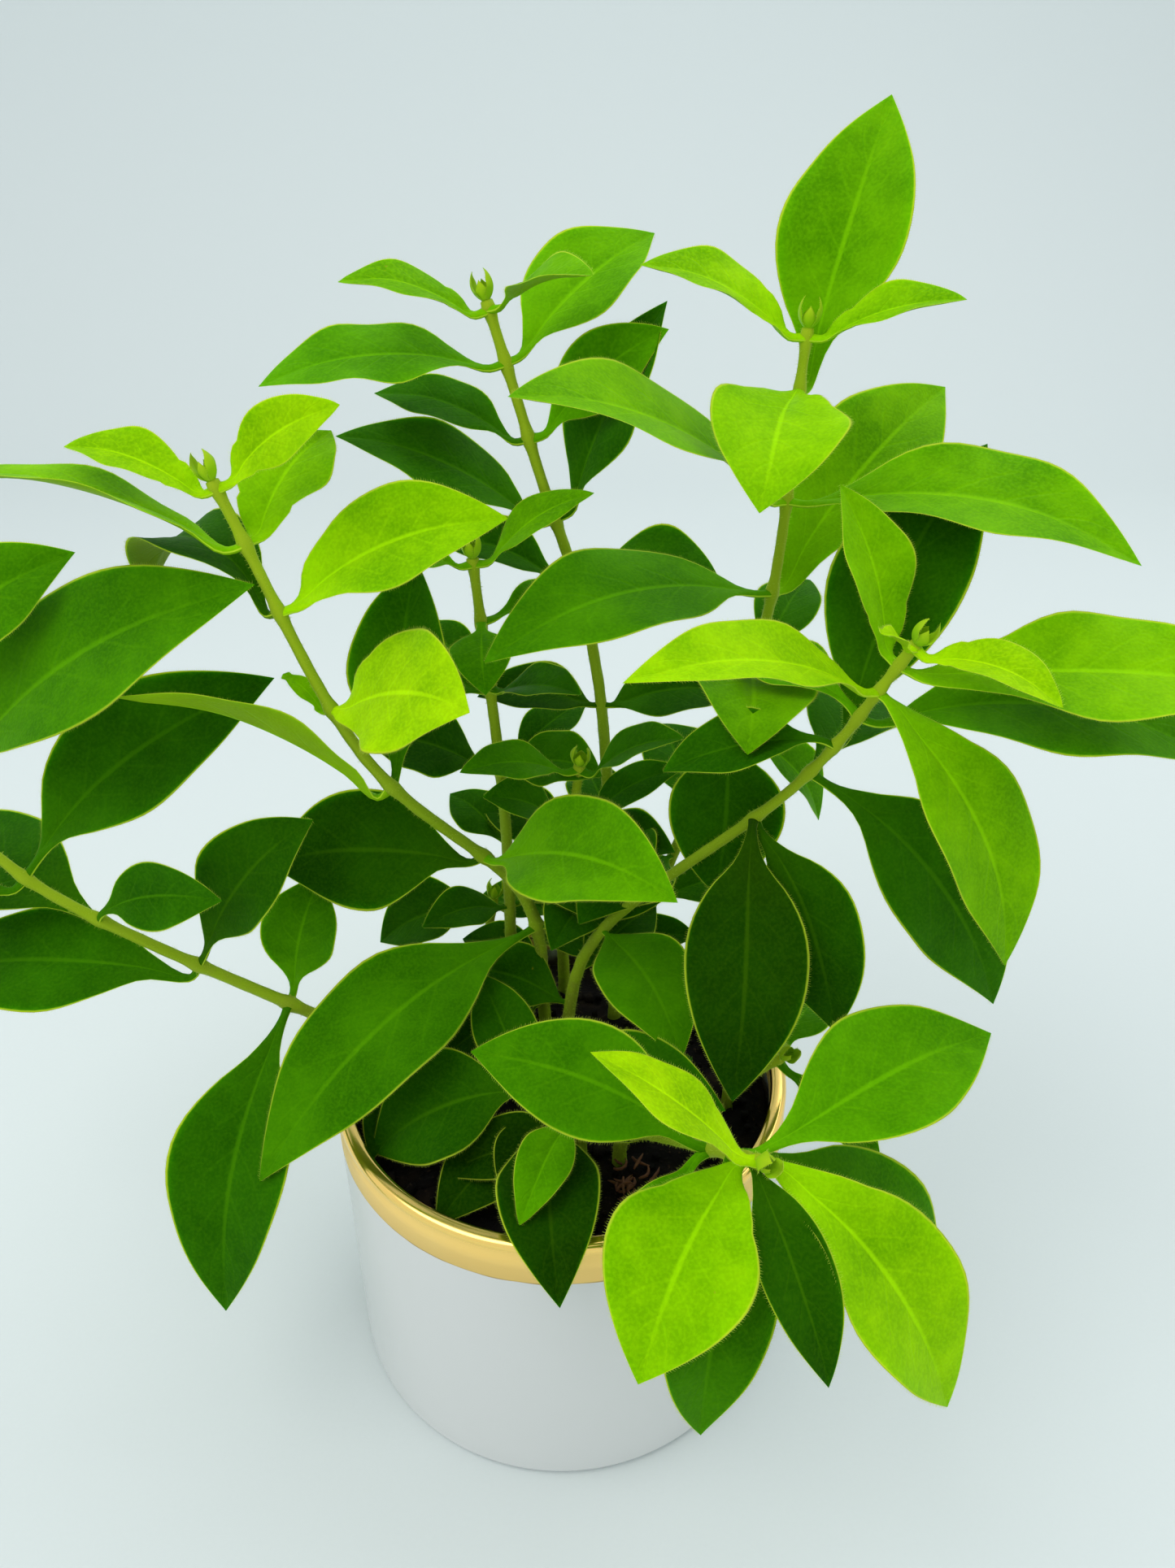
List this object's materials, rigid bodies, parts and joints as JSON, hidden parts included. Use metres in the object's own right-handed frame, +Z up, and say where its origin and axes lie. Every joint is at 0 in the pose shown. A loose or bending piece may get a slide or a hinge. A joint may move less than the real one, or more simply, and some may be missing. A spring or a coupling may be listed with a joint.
{
  "type": "potted lipstick plant",
  "caption": "Leafy trailing house plant with softly hairy leaves in opposite pairs, growing from dark potting mix in a straight round glazed pot with a gold rim.",
  "frame": {"origin": "centre of the flat underside of the pot", "axes": "+Z up along the pot's axis, +X to the right and -Y towards the front, where the leaves face"},
  "size_m": [0.3375, 0.1866, 0.3147],
  "materials": {
    "pot_glaze": "glossy white glaze, with a gold lustre band round the rim",
    "potting_mix": "damp, crumbly, nearly black potting mix",
    "stem": "yellow-green, finely hairy stem",
    "leaf_young": "bright yellow-green, finely hairy leaf",
    "leaf_grown": "mid green, finely hairy leaf",
    "leaf_old": "dark green, slightly glossy leaf"
  },
  "bodies": {
    "root": {"leaf_pair_back_left_short_1": "leaf_old", "leaf_pair_centre_short_1": "leaf_old", "leaf_pair_centre_short_2": "leaf_old", "leaf_pair_front_low_1": "leaf_grown", "leaf_pair_front_low_2": "leaf_grown", "leaf_pair_front_low_3": "leaf_young", "leaf_pair_front_low_4": "leaf_young", "leaf_pair_front_short_1": "leaf_old", "leaf_pair_left_low_1": "leaf_old", "leaf_pair_left_low_2": "leaf_old", "leaf_pair_left_low_3": "leaf_grown", "leaf_pair_left_low_4": "leaf_grown", "leaf_pair_left_low_5": "leaf_grown", "leaf_pair_left_low_6": "leaf_young", "leaf_pair_left_tall_1": "leaf_old", "leaf_pair_left_tall_2": "leaf_old", "leaf_pair_left_tall_3": "leaf_grown", "leaf_pair_left_tall_4": "leaf_grown", "leaf_pair_left_tall_5": "leaf_grown", "leaf_pair_left_tall_6": "leaf_young", "leaf_pair_left_tall_7": "leaf_young", "leaf_pair_middle_low_1": "leaf_grown", "leaf_pair_middle_low_2": "leaf_young", "leaf_pair_middle_short_1": "leaf_grown", "leaf_pair_middle_short_2": "leaf_grown", "leaf_pair_middle_short_3": "leaf_grown", "leaf_pair_middle_short_4": "leaf_young", "leaf_pair_middle_tall_1": "leaf_grown", "leaf_pair_middle_tall_2": "leaf_grown", "leaf_pair_middle_tall_3": "leaf_grown", "leaf_pair_middle_tall_4": "leaf_young", "leaf_pair_middle_tall_5": "leaf_young", "leaf_pair_right_leaning_1": "leaf_grown", "leaf_pair_right_leaning_2": "leaf_grown", "leaf_pair_right_leaning_3": "leaf_grown", "leaf_pair_right_leaning_4": "leaf_grown", "leaf_pair_right_leaning_5": "leaf_young", "leaf_pair_right_leaning_6": "leaf_young", "leaf_pair_right_leaning_7": "leaf_young", "leaf_pair_right_short_1": "leaf_old", "leaf_pair_right_tall_1": "leaf_old", "leaf_pair_right_tall_2": "leaf_grown", "leaf_pair_right_tall_3": "leaf_grown", "leaf_pair_right_tall_4": "leaf_grown", "leaf_pair_right_tall_5": "leaf_young", "leaf_pair_right_tall_6": "leaf_young", "pot": "pot_glaze", "potting_mix": "potting_mix", "stem_back_left_short": "stem", "stem_centre_short": "stem", "stem_front_low": "stem", "stem_front_short": "stem", "stem_left_low": "stem", "stem_left_tall": "stem", "stem_middle_low": "stem", "stem_middle_short": "stem", "stem_middle_tall": "stem", "stem_right_leaning": "stem", "stem_right_short": "stem", "stem_right_tall": "stem"}
  },
  "joints": []
}
